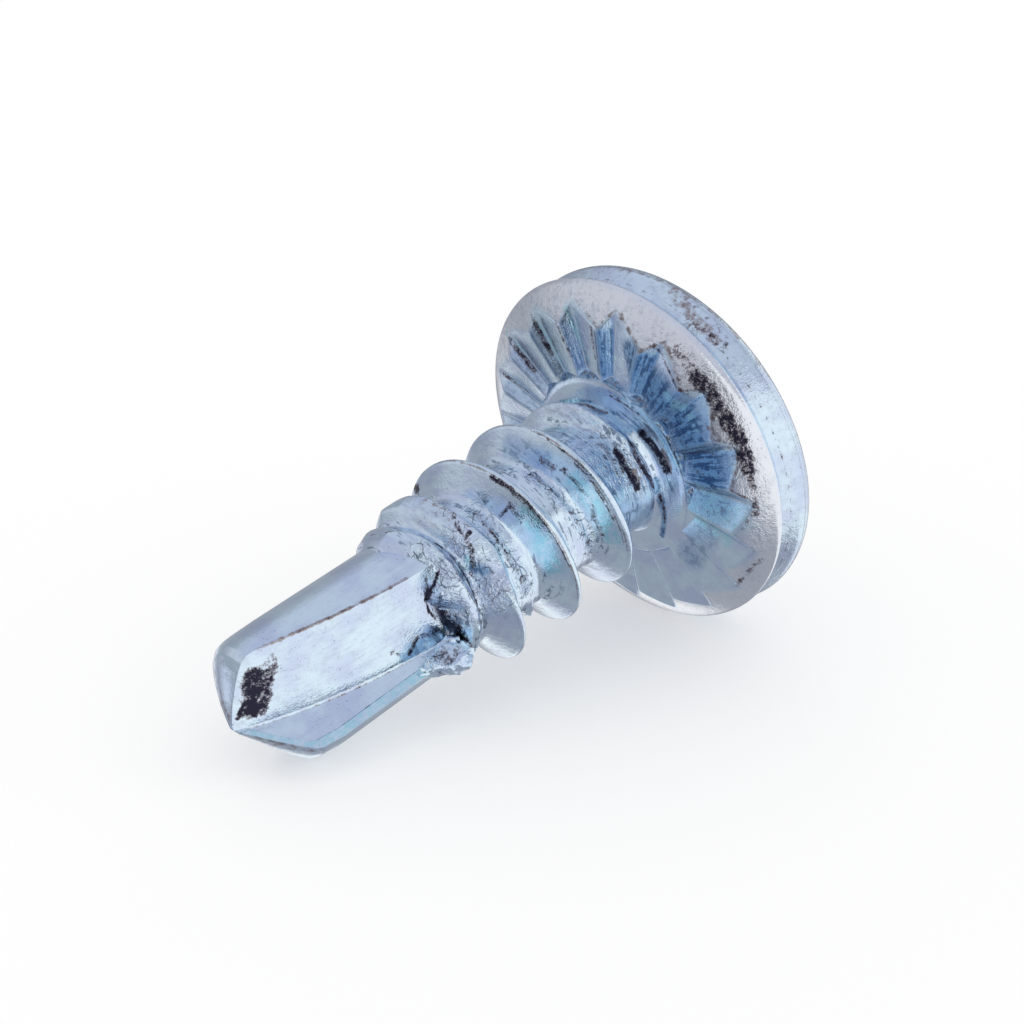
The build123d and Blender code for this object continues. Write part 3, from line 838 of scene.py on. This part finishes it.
thread = {
    "pitch": 1.3,
    "crestDepth": 5.03,        # depth of the crest at the angle below
    "crestAngle": 161.2,
    "flankAngle": 29.0,
    "topDepth": 0.40,
    "endDepth": 6.00,
    "columns": 512,
    "rowsPerPitch": 42,
    "rowGathering": 0.10,      # of rows towards the crest
    "sharpAngle": 50,
    "crestSoftness": (0.012, 0.03),    # rounding of the crest, and more where it is battered
    # depth and radius of the turned body under the thread
    "body": [(0.40, 1.18), (0.50, 1.22), (0.75, 1.22), (1.0, 1.18), (4.80, 1.17), (5.05, 1.25), (5.20, 1.36),
             (5.30, 1.38), (5.50, 1.30), (5.60, 1.20), (5.66, 1.14), (5.72, 1.00), (5.80, 0.72), (5.86, 0.50),
             (6.40, 0.50)],
    # depth of the collar's foot by angle, the same for both flutes: it is pushed towards
    # the head where a flute ends, by a push that grows between two depths
    "footDepth": 5.62,
    "pushedFrom": (4.75, 5.25),
    "foot": [(0, 5.60), (32, 5.64), (60, 5.37), (69, 5.30), (81, 5.22), (90, 5.26), (96, 5.34), (105, 5.26),
             (117, 5.10), (123, 5.16), (135, 5.16), (150, 5.12), (158, 5.20), (166, 5.60)],
    # crest radius along the helix, by its unwound angle
    "crest": [(95, 0.30), (120, 1.17), (150, 1.30), (183, 1.57), (200, 1.57), (214, 1.52), (229, 1.50),
              (250, 1.48), (270, 1.50), (283, 1.55), (293, 1.68), (300, 1.74), (360, 1.73), (420, 1.75),
              (1180, 1.75), (1240, 1.66), (1278, 1.55), (1294, 1.50), (1304, 1.42), (1327, 1.28),
              (1340, 1.30), (1355, 1.22), (1384, 1.20), (1420, 1.30), (1440, 1.20), (1460, 1.10)],
    "rootRounding": [(0.5, 0.02), (0.9, 0.06)],      # by depth
    # lumps and hollows of the body: angle and depth, half their sizes, and height
    "lumps": [(-20, 5.0, 50, 0.22, -0.08), (0, 3.62, 11, 0.06, 0.17)],
    "strokeRadius": 1.3,       # of the cylinder from which the strokes are unrolled
    # strokes by angle and depth
    "stainAndShade": [
        # the first four strokes are painted reflections of dark surroundings on the neck
        (0.05, 0.70, [(-101, 0.72), (-91, 0.76), (-78, 0.78), (-66, 0.72), (-55, 0.66)]),
        (0.025, 0.60, [(-55, 0.66), (-43, 0.60), (-30, 0.55), (-15, 0.50)]),
        (0.09, 0.72, [(-98, 1.02), (-88, 1.04), (-75, 1.03), (-62, 1.0)]),
        (0.14, 0.33, [(-118, 1.15), (-95, 1.15), (-70, 1.10)]),
        (0.012, 0.55, [(-112, 1.42), (-95, 1.40), (-78, 1.36), (-58, 1.22)]),
        (0.010, 0.55, [(-106, 1.30), (-90, 1.30), (-74, 1.26), (-60, 1.16)]),
        (0.012, 0.62, [(-140, 2.25), (-130, 2.225), (-114, 2.195), (-91, 2.135), (-69, 2.075),
                       (-38, 1.92)]),
        (0.03, 0.62, [(-126, 3.53), (-122, 3.52), (-110, 3.47), (-102, 3.44), (-96, 3.42)]),
        (0.014, 0.60, [(-102, 3.44), (-83, 3.375), (-56, 3.275)]),
        (0.04, 0.52, [(-124.5, 2.39), (-113, 2.37), (-105, 2.28)]),
        (0.03, 0.50, [(-105, 2.28), (-91, 2.25), (-79, 2.22), (-63, 2.21), (-49, 2.15)]),
        (0.05, 0.42, [(-124, 2.63), (-108, 2.58), (-96.5, 2.56), (-85, 2.51), (-69.5, 2.47), (-53, 2.41),
                      (-31, 2.25)]),
        (0.07, 0.42, [(-128, 3.95), (-109, 3.98), (-88, 3.99), (-74, 3.97), (-57, 3.90), (-40, 3.85)]),
        (0.04, 0.50, [(-107, 3.70), (-107, 3.58), (-102, 3.56), (-94, 3.55)]),
        (0.06, 0.75, [(-199, 3.8), (-195, 3.82)]),
        (0.05, 0.60, [(-106.5, 4.48), (-106, 4.56)]),
        (0.04, 0.55, [(-116, 4.55), (-100, 4.60), (-87, 4.70), (-81, 4.78)]),
        (0.05, 0.45, [(-140, 4.36), (-116, 4.50)]),
        (0.025, 0.62, [(-150, 5.35), (-140, 5.10), (-127, 4.97), (-115, 4.90), (-106, 4.86), (-82, 4.86),
                       (-65, 4.90), (-38, 4.86)]),
        (0.03, 0.85, [(-99, 5.22), (-92, 5.36), (-84, 5.50)]),
        (0.05, 0.60, [(-84, 5.50), (-75, 5.44), (-68, 5.34)]),
        (0.07, 0.70, [(-60, 5.32), (-50, 5.30), (-38, 5.26), (-25, 5.18)]),
        (0.02, 0.62, [(-100, 5.0), (-85, 5.06), (-65, 5.0), (-50, 4.98)]),
    ],
    "film": [
        (0.035, 0.9, [(-130, 0.60), (-112, 0.68), (-91, 0.78), (-66, 0.74), (-43, 0.60), (-22, 0.52)]),
        (0.09, 0.5, [(-155, 2.50), (-137, 2.44), (-120, 2.37)]),
        (0.05, 0.3, [(-124, 2.63), (-85, 2.51), (-31, 2.25)]),
        (0.07, 0.2, [(-128, 3.95), (-88, 3.99), (-40, 3.85)]),
        (0.06, 0.8, [(-87, 4.70), (-81, 4.62)]),
    ],
    "teal": [
        (0.08, 1.0, [(-98, 2.27), (-75, 2.18), (-45, 2.05)]),
        (0.08, 1.0, [(-99, 3.50), (-75, 3.46), (-52, 3.41)]),
        (0.05, 0.8, [(-172, 1.32), (-146, 1.32)]),
        (0.04, 0.8, [(-95, 4.70), (-88, 4.72)]),
        (0.12, 0.4, [(-60, 4.2), (-20, 4.1)]),
    ],
    "wear": [
        (0.05, 0.8, [(-76, 0.93), (-68, 0.92)]),
        (0.012, 0.75, [(-175, 2.35), (-130, 2.21), (-114, 2.18), (-91, 2.12), (-69, 2.06), (-38, 1.90)]),
        (0.012, 0.75, [(-175, 3.66), (-122, 3.50), (-102, 3.43), (-83, 3.36), (-56, 3.26), (-30, 3.16)]),
        (0.02, 0.6, [(-150, 4.55), (-130, 4.50), (-116, 4.42)]),
    ],
    "matt": [
        (0.25, 0.7, [(-160, 1.05), (-120, 1.05), (-60, 1.0)]),
        (0.25, 0.6, [(-160, 4.4), (-120, 4.6), (-60, 4.7)]),
    ],
    "torn": [
        (0.10, 0.6, [(-120, 0.95), (-100, 0.90), (-85, 0.9)]),
        (0.11, 1.0, [(-124, 2.63), (-85, 2.51), (-31, 2.25)]),
        (0.14, 1.0, [(-128, 3.95), (-88, 3.99), (-40, 3.85)]),
        (0.18, 0.9, [(-130, 4.45), (-100, 4.6), (-60, 4.7)]),
        (0.20, 1.0, [(-120, 5.25), (-90, 5.3), (-50, 5.35)]),
    ],
    # where the first turn is battered: how far its crest is pushed towards the head, half
    # the width of its flat, and how much the flat leans
    "battered": [(183, 0.20, 0.15, 0.0), (214, 0.23, 0.15, 0.4), (229, 0.18, 0.15, 0.45),
                 (270, 0.18, 0.14, 0.45), (283, 0.12, 0.10, 0.3), (300, 0.0, 0.035, 0.0)],
    # how strongly it is streaked on its flanks, and how much more at its root
    "combing": (0.45, 0.55),
    # the neck's far sides are streaked less: where that is, by angle, the depths at which
    # it starts to fade in and is full, and the share of the streaks that it takes away
    "neckAside": [(-150, 1), (-125, 0), (-55, 0), (-35, 1)],
    "neckEnd": (1.2, 0.9),
    "neckLess": 0.8,
}


# The radius at an angle and depth: the larger of the turned body and the ridge of the
# nearest turn, which falls away from its crest line at the flank angle.
def shankRadius(theta, depth):
    unwound = (thread["crestDepth"] - depth) * 360 / thread["pitch"] + thread["crestAngle"]
    along = theta + 360 * np.round((unwound - theta) / 360)
    crestDepth = thread["crestDepth"] - thread["pitch"] * (along - thread["crestAngle"]) / 360
    batteredAngle, *battered = np.array(thread["battered"]).T
    push, halfWidth, lean = (np.interp(along, batteredAngle, column) for column in battered)
    past = depth - crestDepth + push
    crest = byAngle(along, thread["crest"]) - lean * np.clip(past, -halfWidth, halfWidth)
    flank = crest - (np.abs(past) - halfWidth) / math.tan(math.radians(thread["flankAngle"]))
    softness, more = thread["crestSoftness"]
    ridge = softMin(crest, flank, softness + more * (halfWidth > 0.05))
    pushed = thread["footDepth"] - np.interp(theta, *np.array(thread["foot"]).T, period=180)
    pushed = pushed * smoothStep(*thread["pushedFrom"], depth)
    body = np.interp(depth + pushed, *np.array(thread["body"]).T)
    for angle, middle, halfAngle, halfDepth, height in thread["lumps"]:
        away = (angleFrom(theta, angle) / halfAngle) ** 2 + ((depth - middle) / halfDepth) ** 2
        body = body + height * np.exp(-away)
    return softMax(body, ridge, np.interp(depth, *np.array(thread["rootRounding"]).T))


# A sheared grid: a row's depth falls by one pitch in a turn, so that rows follow the
# crest, and the last column of a row joins the first column of the row a pitch back.
def makeShank():
    columns = thread["columns"]
    theta = np.arange(columns) * 360 / columns
    rise = thread["pitch"] * theta / 360
    perPitch = thread["rowsPerPitch"]
    crestRow = thread["crestDepth"] + thread["pitch"] * thread["crestAngle"] / 360
    firstRow = math.floor((thread["topDepth"] - crestRow) / thread["pitch"]) * perPitch
    lastRow = math.ceil((thread["endDepth"] + thread["pitch"] - crestRow) / thread["pitch"]) * perPitch
    rows = np.arange(firstRow, lastRow + 1)
    share = (rows / perPitch) % 1
    offset = share - thread["rowGathering"] * np.sin(2 * math.pi * share) / 2
    rowDepth = crestRow + thread["pitch"] * (np.floor(rows / perPitch) + offset)
    free = rowDepth[:, None] - rise
    low = free <= thread["topDepth"]
    high = free >= thread["endDepth"]
    depth = np.clip(free, thread["topDepth"], thread["endDepth"])
    index = np.arange(free.size).reshape(free.shape)
    # clamped points become one ring at each end
    firstFree = np.argmax(~low, axis=0) - 1
    lastFree = high.shape[0] - np.argmax(~high[::-1], axis=0)
    index = np.where(low, index[firstFree, np.arange(columns)], index)
    index = np.where(high, index[np.minimum(lastFree, high.shape[0] - 1), np.arange(columns)], index)
    beside = np.concatenate([index[:, 1:], np.roll(index[:, :1], perPitch, axis=0)], axis=1)
    beside[:perPitch, -1] = index[0, 0]
    a, b, c, d = index[:-1], index[1:], beside[1:], beside[:-1]
    quads = np.concatenate([np.stack([a, b, c], -1).reshape(-1, 3), np.stack([a, c, d], -1).reshape(-1, 3)])
    pole = free.size
    topRing, endRing = index[0], index[-1]
    fans = np.concatenate([
        np.stack([np.full(columns, pole), topRing, np.roll(topRing, -1)], -1),
        np.stack([np.full(columns, pole + 1), np.roll(endRing, -1), endRing], -1),
    ])
    triangles = np.concatenate([quads, fans])
    triangles = triangles[(triangles != np.roll(triangles, 1, axis=1)).all(axis=1)]
    radius = shankRadius(theta, depth)
    points = np.concatenate([polar(theta, radius, depth).reshape(-1, 3),
                             [(0, 0, -thread["topDepth"]), (0, 0, -thread["endDepth"])]])
    used, triangles = np.unique(triangles, return_inverse=True)
    points = points[used]
    triangles = outwards(points, triangles.reshape(-1, 3))
    theta, reach, depth = onScrew(points)
    marks = marksOf(thread, unrolled(thread["strokeRadius"]), theta, depth)
    aside = byAngle(theta, thread["neckAside"]) * smoothStep(*thread["neckEnd"], depth)
    least, more = thread["combing"]
    combing = least + more * smoothStep(1.5, 1.3, reach)
    marks["combing"] = combing * (1 - thread["neckLess"] * aside)
    makePiece("threadedShank", points, triangles, thread["sharpAngle"], marks, points * (0.12, 0.12, 1))


# ---- drill point

drill = {
    "rake": -24.0,             # direction of the first cutting wall
    "wallTilt": 30.0,
    "startDepth": 5.00,
    "tipDepth": 9.06,
    "arcColumns": 96,
    "wallColumns": 64,
    "filletColumns": 6,
    "cutColumns": 40,
    "rows": 212,
    "rowGathering": 1.35,      # of rows towards the tip, as a power
    "sharpAngle": 40,
    "web": (0.70, -0.0309, -0.0426),   # half of it, by powers of the depth past 5.5
    # radius and depth of each land's worn end, from the tip back
    "nearLand": [(0.0, 9.06), (0.168, 8.975), (0.419, 8.786), (0.684, 8.593), (0.94, 8.391), (1.095, 8.252),
                 (1.147, 8.152), (1.16, 8.0), (1.19, 7.785), (1.19, 5.9), (1.16, 5.3)],
    "farLand": [(0.0, 9.06), (0.2, 9.0), (0.43, 8.92), (0.72, 8.79), (0.91, 8.69), (1.05, 8.60), (1.14, 8.50),
                (1.17, 8.38), (1.18, 8.24), (1.19, 7.8), (1.18, 5.3)],
    "marginWidth": 0.17,       # raised strip along each cutting edge
    "marginStep": 0.035,
    "rootRounding": 0.045,     # how far from the root its fillet starts on either wall
    "stepLine": 0.014,         # half width of the dark line at the strip's step
    "clearOfTip": 0.15,        # the lines end at this distance from the axis
    # strengths of the marks that follow the form
    "stripTeal": 0.8,
    "stepDarkening": 0.62,
    "rootDarkening": 0.30,
    "rootWear": 0.45,
    "lipSoot": 0.24,
    "lipWear": 0.45,
    "wallMatt": 0.15,
    "combing": 0.3,
    # strokes on the first long wall, by depth and by distance from its root side
    "stainAndShade": [
        (0.12, 0.50, [(8.16, 0.88), (8.22, 0.70)]),
        (0.19, 0.78, [(8.50, 0.72), (8.58, 0.45), (8.68, 0.20)]),
        (0.12, 0.68, [(8.30, 0.66), (8.42, 0.36), (8.56, 0.10)]),
        (0.05, 0.75, [(8.75, 0.35), (8.93, 0.15)]),
        (0.06, 0.55, [(5.56, -0.2), (5.85, -0.12), (6.05, -0.30)]),
        (0.05, 0.50, [(6.22, -0.2), (6.35, -0.12)]),
        (0.03, 0.70, [(5.50, 0.45), (5.50, 0.2), (5.42, 0.0)]),
        # the dark line along the heel is painted shade; the wear stroke on the same line makes it brown
        (0.025, 0.36, [(8.3, 1.13), (7.88, 1.11), (7.05, 1.055), (6.4, 1.005), (5.7, 0.967)]),
    ],
    "wear": [
        (0.030, 0.7, [(8.3, 1.13), (7.88, 1.11), (7.05, 1.055), (6.4, 1.005), (5.7, 0.967)]),
    ],
}


# Distance of a flute's long wall from the axis, a quadratic in depth.
def webHalf(depth):
    flat, linear, square = drill["web"]
    past = depth - 5.5
    return flat + linear * past + square * past ** 2


# Half of a cross-section, in axes along and across the cutting edge: an arc from the
# edge to the heel, then the long wall of the next flute to its root, then the cutting
# wall out to the next land's edge.
def halfSection(depth, radius, nextRadius):
    web = np.maximum(webHalf(depth), 0.02)
    tilt = math.radians(drill["wallTilt"])
    heelTurn = np.arccos(np.clip(web / np.maximum(radius, 1e-6), -1, 1))
    rootReach = np.minimum(web / math.cos(tilt), radius)
    normal = math.pi - tilt
    # an arc that reaches the root directly where the land's end is narrower than the web
    heel = np.where(radius * math.cos(tilt) < web, math.pi - 0.02, normal - heelTurn)
    share = np.linspace(0, 1, drill["arcColumns"], endpoint=False)
    angle = heel[:, None] * share
    arc = radius[:, None, None] * np.stack([np.cos(angle), np.sin(angle)], -1)
    heelPoint = radius[:, None] * np.stack([np.cos(heel), np.sin(heel)], -1)
    # the cutting wall is sunk inside the strip, so the long wall runs on to reach it
    inner = np.maximum(nextRadius - drill["marginWidth"], 0)
    sunk = drill["marginStep"] * smoothStep(0, 0.06, inner - rootReach)
    rootPoint = np.stack([-rootReach - sunk * math.tan(tilt), -sunk], -1)
    edgePoint = np.stack([-np.maximum(nextRadius, rootReach), np.zeros_like(rootReach)], -1)
    wallLength = np.linalg.norm(heelPoint - rootPoint, axis=1)[:, None]
    cutLength = np.linalg.norm(edgePoint - rootPoint, axis=1)[:, None]
    rounding = np.minimum(drill["rootRounding"], 0.3 * np.minimum(wallLength, cutLength))
    filletStart = rootPoint + (heelPoint - rootPoint) * rounding / np.maximum(wallLength, 1e-6)
    filletEnd = rootPoint + np.array([-1.0, 0.0]) * rounding
    share = np.linspace(0, 1, drill["wallColumns"], endpoint=False)[:, None]
    wall = heelPoint[:, None] * (1 - share) + filletStart[:, None] * share
    share = np.linspace(0, 1, drill["filletColumns"], endpoint=False)[:, None]
    fillet = (filletStart[:, None] * (1 - share) ** 2 + rootPoint[:, None] * 2 * share * (1 - share)
              + filletEnd[:, None] * share ** 2)
    # columns of the cutting wall are gathered at the strip's step
    share = np.linspace(0, 1, drill["cutColumns"], endpoint=False)
    cutStart, cutEnd = -filletEnd[:, 0], -edgePoint[:, 0]
    step = np.clip((inner - cutStart) / np.maximum(cutEnd - cutStart, 1e-6), 0.05, 0.95)[:, None]
    before = step * (1 - (1 - 2 * share) ** 2)
    share = np.where(share < 0.5, before, step + (1 - step) * (2 * share - 1) ** 2)
    reach = cutStart[:, None] * (1 - share) + cutEnd[:, None] * share
    rise = smoothStep(-0.012, 0.012, reach - inner[:, None])
    cut = np.stack([-reach, -sunk[:, None] * (1 - rise)], -1)
    return np.concatenate([arc, wall, fillet, cut], axis=1)


def makeDrill():
    share = 1 - (1 - np.linspace(0, 1, drill["rows"])) ** drill["rowGathering"]
    depth = drill["startDepth"] + (drill["tipDepth"] - drill["startDepth"]) * share * 0.9995
    near, far = (np.interp(depth, *np.array(drill[land])[::-1, ::-1].T)
                 for land in ("nearLand", "farLand"))
    section = np.concatenate([halfSection(depth, near, far), -halfSection(depth, far, near)], axis=1)
    u, v = section[..., 0], section[..., 1]
    rake = math.radians(drill["rake"])
    x = u * math.cos(rake) - v * math.sin(rake)
    y = u * math.sin(rake) + v * math.cos(rake)
    grid = np.stack([x, y, np.broadcast_to(-depth[:, None], x.shape)], -1)
    points = shellPoints((0, 0, -drill["startDepth"]), grid, (0, 0, -drill["tipDepth"]))
    triangles = outwards(points, shellTriangles(len(depth), grid.shape[1]))
    # the first long wall's strokes lie by depth and by the distance along the wall
    tilt = math.radians(drill["wallTilt"])
    along = -math.sin(tilt) * u - math.cos(tilt) * v
    past = math.cos(tilt) * u - math.sin(tilt) * v - webHalf(depth)[:, None]
    onWall = np.stack([np.broadcast_to(depth[:, None], u.shape), along], -1).reshape(-1, 2)
    firstWall = smoothStep(-0.07, -0.02, past)
    stainAndShade, wear = (firstWall * strokeShare(onWall, drill[mark]).reshape(u.shape)
                  for mark in ("stainAndShade", "wear"))
    # a film on the strip of each cutting edge, a dark line at its step, a grey one along
    # the root, and wear on the lip
    column = np.arange(section.shape[1]) % (section.shape[1] // 2)
    cutStart = section.shape[1] // 2 - drill["cutColumns"]
    clear = np.abs(u) > drill["clearOfTip"]
    fromStep = np.abs(u) - (np.where(u < 0, far[:, None], near[:, None]) - drill["marginWidth"])
    strip = (column >= cutStart) * clear * smoothStep(-0.01, 0.01, fromStep)
    atStep = (column >= cutStart) * clear * np.exp(-(fromStep / drill["stepLine"]) ** 2)
    atRoot = (np.abs(column - cutStart + drill["filletColumns"] // 2) < 2) * clear
    turned = np.where(u > 0, v, -v)
    lip = (column < drill["arcColumns"]) * (turned > -0.01) * smoothStep(0.5, 0.2, turned)
    lip = lip * smoothStep(8.0, 8.15, depth)[:, None]
    marks = {
        "teal": drill["stripTeal"] * strip,
        "wear": np.maximum.reduce([wear, drill["lipWear"] * lip, drill["rootWear"] * atRoot]),
        "stainAndShade": np.maximum.reduce([stainAndShade, drill["stepDarkening"] * atStep, drill["rootDarkening"] * atRoot,
                                   drill["lipSoot"] * lip]),
        "matt": drill["wallMatt"] * firstWall * (along > -0.1),
    }
    marks = {name: np.concatenate([[0], values.ravel(), [0]]) for name, values in marks.items()}
    marks["combing"] = drill["combing"]
    combed = shellPoints((0, 0, 0), np.stack([u, v, 0.06 * grid[..., 2]], -1), (0, 0, 0))
    makePiece("drillPoint", points, triangles, drill["sharpAngle"], marks, combed)


# ---- torn metal at the end of the first flute

torn = {
    # cross-sections from the head side to the drill side, in axes along and across the
    # cutting edge
    "depth": (5.16, 5.28, 5.42, 5.60, 5.78, 5.95, 6.10, 6.20),
    "reach": (1.26, 1.42, 1.50, 1.52, 1.44, 1.28, 1.20, 1.15),
    "thickness": (0.20, 0.42, 0.56, 0.60, 0.46, 0.32, 0.24, 0.10),
    "low": (-0.10, -0.26, -0.32, -0.30, -0.26, -0.20, -0.10, -0.04),
    "high": (0.12, 0.24, 0.26, 0.22, 0.18, 0.20, 0.14, 0.05),
    "rows": 90,
    "columns": 120,
    "squareness": 0.6,         # 1 is an ellipse, and less is squarer
    "endBulge": 0.02,
    "creaseSize": 0.34,
    "creaseSeed": 31,
    "creaseLayers": 3,
    "swell": 0.12,             # how far the noise pushes
    "fold": (0.05, 0.10),      # a fold's depth, and the noise about zero that it takes
    # dark everywhere as a stain, and darker in the hollows as painted shade
    "stainAndShade": (0.12, 0.4),       # everywhere, and more in the hollows
    "torn": 0.25,
    "wear": 0.2,
    "teal": 0.2,
    "sharpAngle": 40,
}


# A lump with a rounded square cross-section. Noise of several sizes pushes it in and out
# along its normals, deepest along the folds where the noise passes zero.
def makeTornMetal():
    turn = np.radians(np.arange(torn["columns"]) * 360 / torn["columns"])
    depth = np.linspace(torn["depth"][0], torn["depth"][-1], torn["rows"])
    reach, thickness, low, high = (np.interp(depth, torn["depth"], torn[part])[:, None]
                                   for part in ("reach", "thickness", "low", "high"))
    across, up = (np.sign(wave) * np.abs(wave) ** torn["squareness"]
                  for wave in (np.cos(turn), np.sin(turn)))
    u = reach - thickness / 2 * (1 - across)
    v = (low + high) / 2 + (high - low) / 2 * up
    section = np.stack([u, v, np.broadcast_to(-depth[:, None], u.shape)], -1)
    grid = section @ np.array(Matrix.Rotation(math.radians(drill["rake"]), 3, "Z")).T
    bulge = np.array((0, 0, torn["endBulge"]))
    points = shellPoints(grid[0].mean(0) + bulge, grid, grid[-1].mean(0) - bulge)
    triangles = outwards(points, shellTriangles(len(depth), torn["columns"]))
    crease = layeredNoise(points, torn["creaseSize"], torn["creaseSeed"], torn["creaseLayers"])
    foldDepth, foldWidth = torn["fold"]
    push = torn["swell"] * crease - foldDepth * np.exp(-(crease / foldWidth) ** 2)
    points = points + pointNormals(points, triangles) * push[:, None]
    marks = {name: torn[name] for name in ("torn", "wear", "teal")}
    # the hollows of the folds are painted darker, as shade
    least, more = torn["stainAndShade"]
    marks["stainAndShade"] = least + more * smoothStep(-0.1, -0.5, crease)
    makePiece("tornMetal", points, triangles, torn["sharpAngle"], marks, points)


makeFlange()
makeDome()
makeRing()
makeShank()
makeDrill()
makeTornMetal()


# ---- camera, light and floor

camera = bpy.data.objects.new("camera", bpy.data.cameras.new("camera"))
bpy.context.scene.collection.objects.link(camera)
bpy.context.scene.camera = camera
viewing = {
    "lens": 50.94,
    "sensorWidth": 36,
    "clipStart": 0.001,
    "clipEnd": 10,
    "location": (0.015349, 0.017277, 0.011828),
    "direction": (-0.6306, -0.6902, -0.3549),
    "right": (-0.7387, 0.6740, 0.0019),
}
camera.data.lens = viewing["lens"]
camera.data.sensor_width = viewing["sensorWidth"]
camera.data.clip_start = viewing["clipStart"]
camera.data.clip_end = viewing["clipEnd"]
back = -Vector(viewing["direction"]).normalized()
right = Vector(viewing["right"]).normalized()
turn = Matrix((right, back.cross(right), back)).transposed().to_4x4()
camera.matrix_world = Matrix.Translation(viewing["location"]) @ turn

studio = {
    "worldLevel": 0.8,
    "tentRadius": 0.5,
    "ground": (0.38, 0.40, 0.44),
    # soft panels that the metal mirrors: azimuth, elevation, half width, half height,
    # softness as a share, and colour; a later one lies over those before it
    "panels": [
        (0, 90, 400, 55, 0.25, (0.60, 0.63, 0.72)),      # the ceiling
        (-20, 22, 50, 22, 0.30, (0.64, 0.65, 0.70)),     # and its lower border at the far left
        (8, -55, 18, 32, 0.35, (0.30, 0.33, 0.40)),      # dim foreground to the left
        (110, -10, 86, 40, 0.06, (0.97, 0.98, 0.99)),    # bright right side
        (-120, -52, 13, 12, 0.35, (1.0, 1.0, 1.0)),      # bright floor behind
        (-101, -20, 9, 9, 0.35, (0.80, 0.80, 0.84)),
        (-62, -19, 12, 5, 0.30, (0.74, 0.76, 0.84)),
        (-105, -37, 14, 5, 0.30, (0.95, 0.95, 0.97)),    # for the ridges of the teeth at the lower right
        (13, -14, 6, 18, 0.35, (0.05, 0.05, 0.06)),      # a dark flag beside the lens
    ],
    "floorRadius": 3.0,
    "floorColour": (0.8, 0.8, 0.8, 1),
    "floorGlow": 0.36,         # only as the camera sees it
}


# A glowing sphere around everything that only mirrors see. A panel covers the directions
# within its half width and half height, with soft edges.
def makeTent():
    bpy.ops.mesh.primitive_uv_sphere_add(segments=48, ring_count=24, radius=studio["tentRadius"])
    tent = bpy.context.object
    tent.name = "tent"
    material = bpy.data.materials.new("tentCloth")
    material.use_nodes = True
    graph = Graph(material.node_tree)
    for node in list(material.node_tree.nodes):
        if node.type != "OUTPUT_MATERIAL":
            material.node_tree.nodes.remove(node)
    place = graph.add("ShaderNodeTexCoord", {}, {}, 3)
    parts = graph.add("ShaderNodeSeparateXYZ", {}, {0: place}).socket.node.outputs
    x, y, z = (Wire(graph, part) for part in parts)
    azimuth = x.math("ARCTAN2", y, x) * (180 / math.pi)
    elevation = x.math("ARCSINE", z / studio["tentRadius"]) * (180 / math.pi)
    colour = studio["ground"]
    for panelAzimuth, panelElevation, halfWidth, halfHeight, softness, panelColour in studio["panels"]:
        turned = x.math("WRAP", azimuth - panelAzimuth, 180.0, -180.0)
        across = x.math("ABSOLUTE", turned / halfWidth)
        up = x.math("ABSOLUTE", (elevation - panelElevation) / halfHeight)
        share = across.below(1 + softness, 1 - softness) * up.below(1 + softness, 1 - softness)
        colour = graph.mixColour(share, colour, panelColour)
    emission = graph.add("ShaderNodeEmission", {}, {"Color": colour, "Strength": 1.0})
    graph.feed(graph.tree.nodes["Material Output"], {"Surface": emission})
    tent.data.materials.append(material)
    tent.visible_camera = False
    tent.visible_diffuse = False
    tent.visible_shadow = False
    tent.visible_transmission = False


makeTent()

world = bpy.data.worlds.new("studio")
bpy.context.scene.world = world
world.use_nodes = True
graph = Graph(world.node_tree)
seen = graph.add("ShaderNodeLightPath", {}, {}, 0)
rays = seen.socket.node.outputs
shownToRays = (seen + Wire(graph, rays["Is Glossy Ray"]) + Wire(graph, rays["Is Transmission Ray"])).clamped()
graph.feed(world.node_tree.nodes["Background"], {
    "Color": (1, 1, 1, 1),
    "Strength": shownToRays * (1 - studio["worldLevel"]) + studio["worldLevel"],
})

bpy.ops.mesh.primitive_circle_add(vertices=96, radius=studio["floorRadius"], fill_type="NGON")
floor = bpy.context.object
floor.name = "floor"
floorPaint = bpy.data.materials.new("paleFloor")
floorPaint.use_nodes = True
graph = Graph(floorPaint.node_tree)
seen = graph.add("ShaderNodeLightPath", {}, {}, 0)
graph.feed(floorPaint.node_tree.nodes["Principled BSDF"], {
    "Base Color": studio["floorColour"],
    "Roughness": 1.0,
    "Specular IOR Level": 0.0,
    "Emission Color": (1, 1, 1, 1),
    "Emission Strength": seen * studio["floorGlow"],
})
floor.data.materials.append(floorPaint)
floor.visible_glossy = False

bpy.context.scene.view_settings.view_transform = "Standard"

print("done")
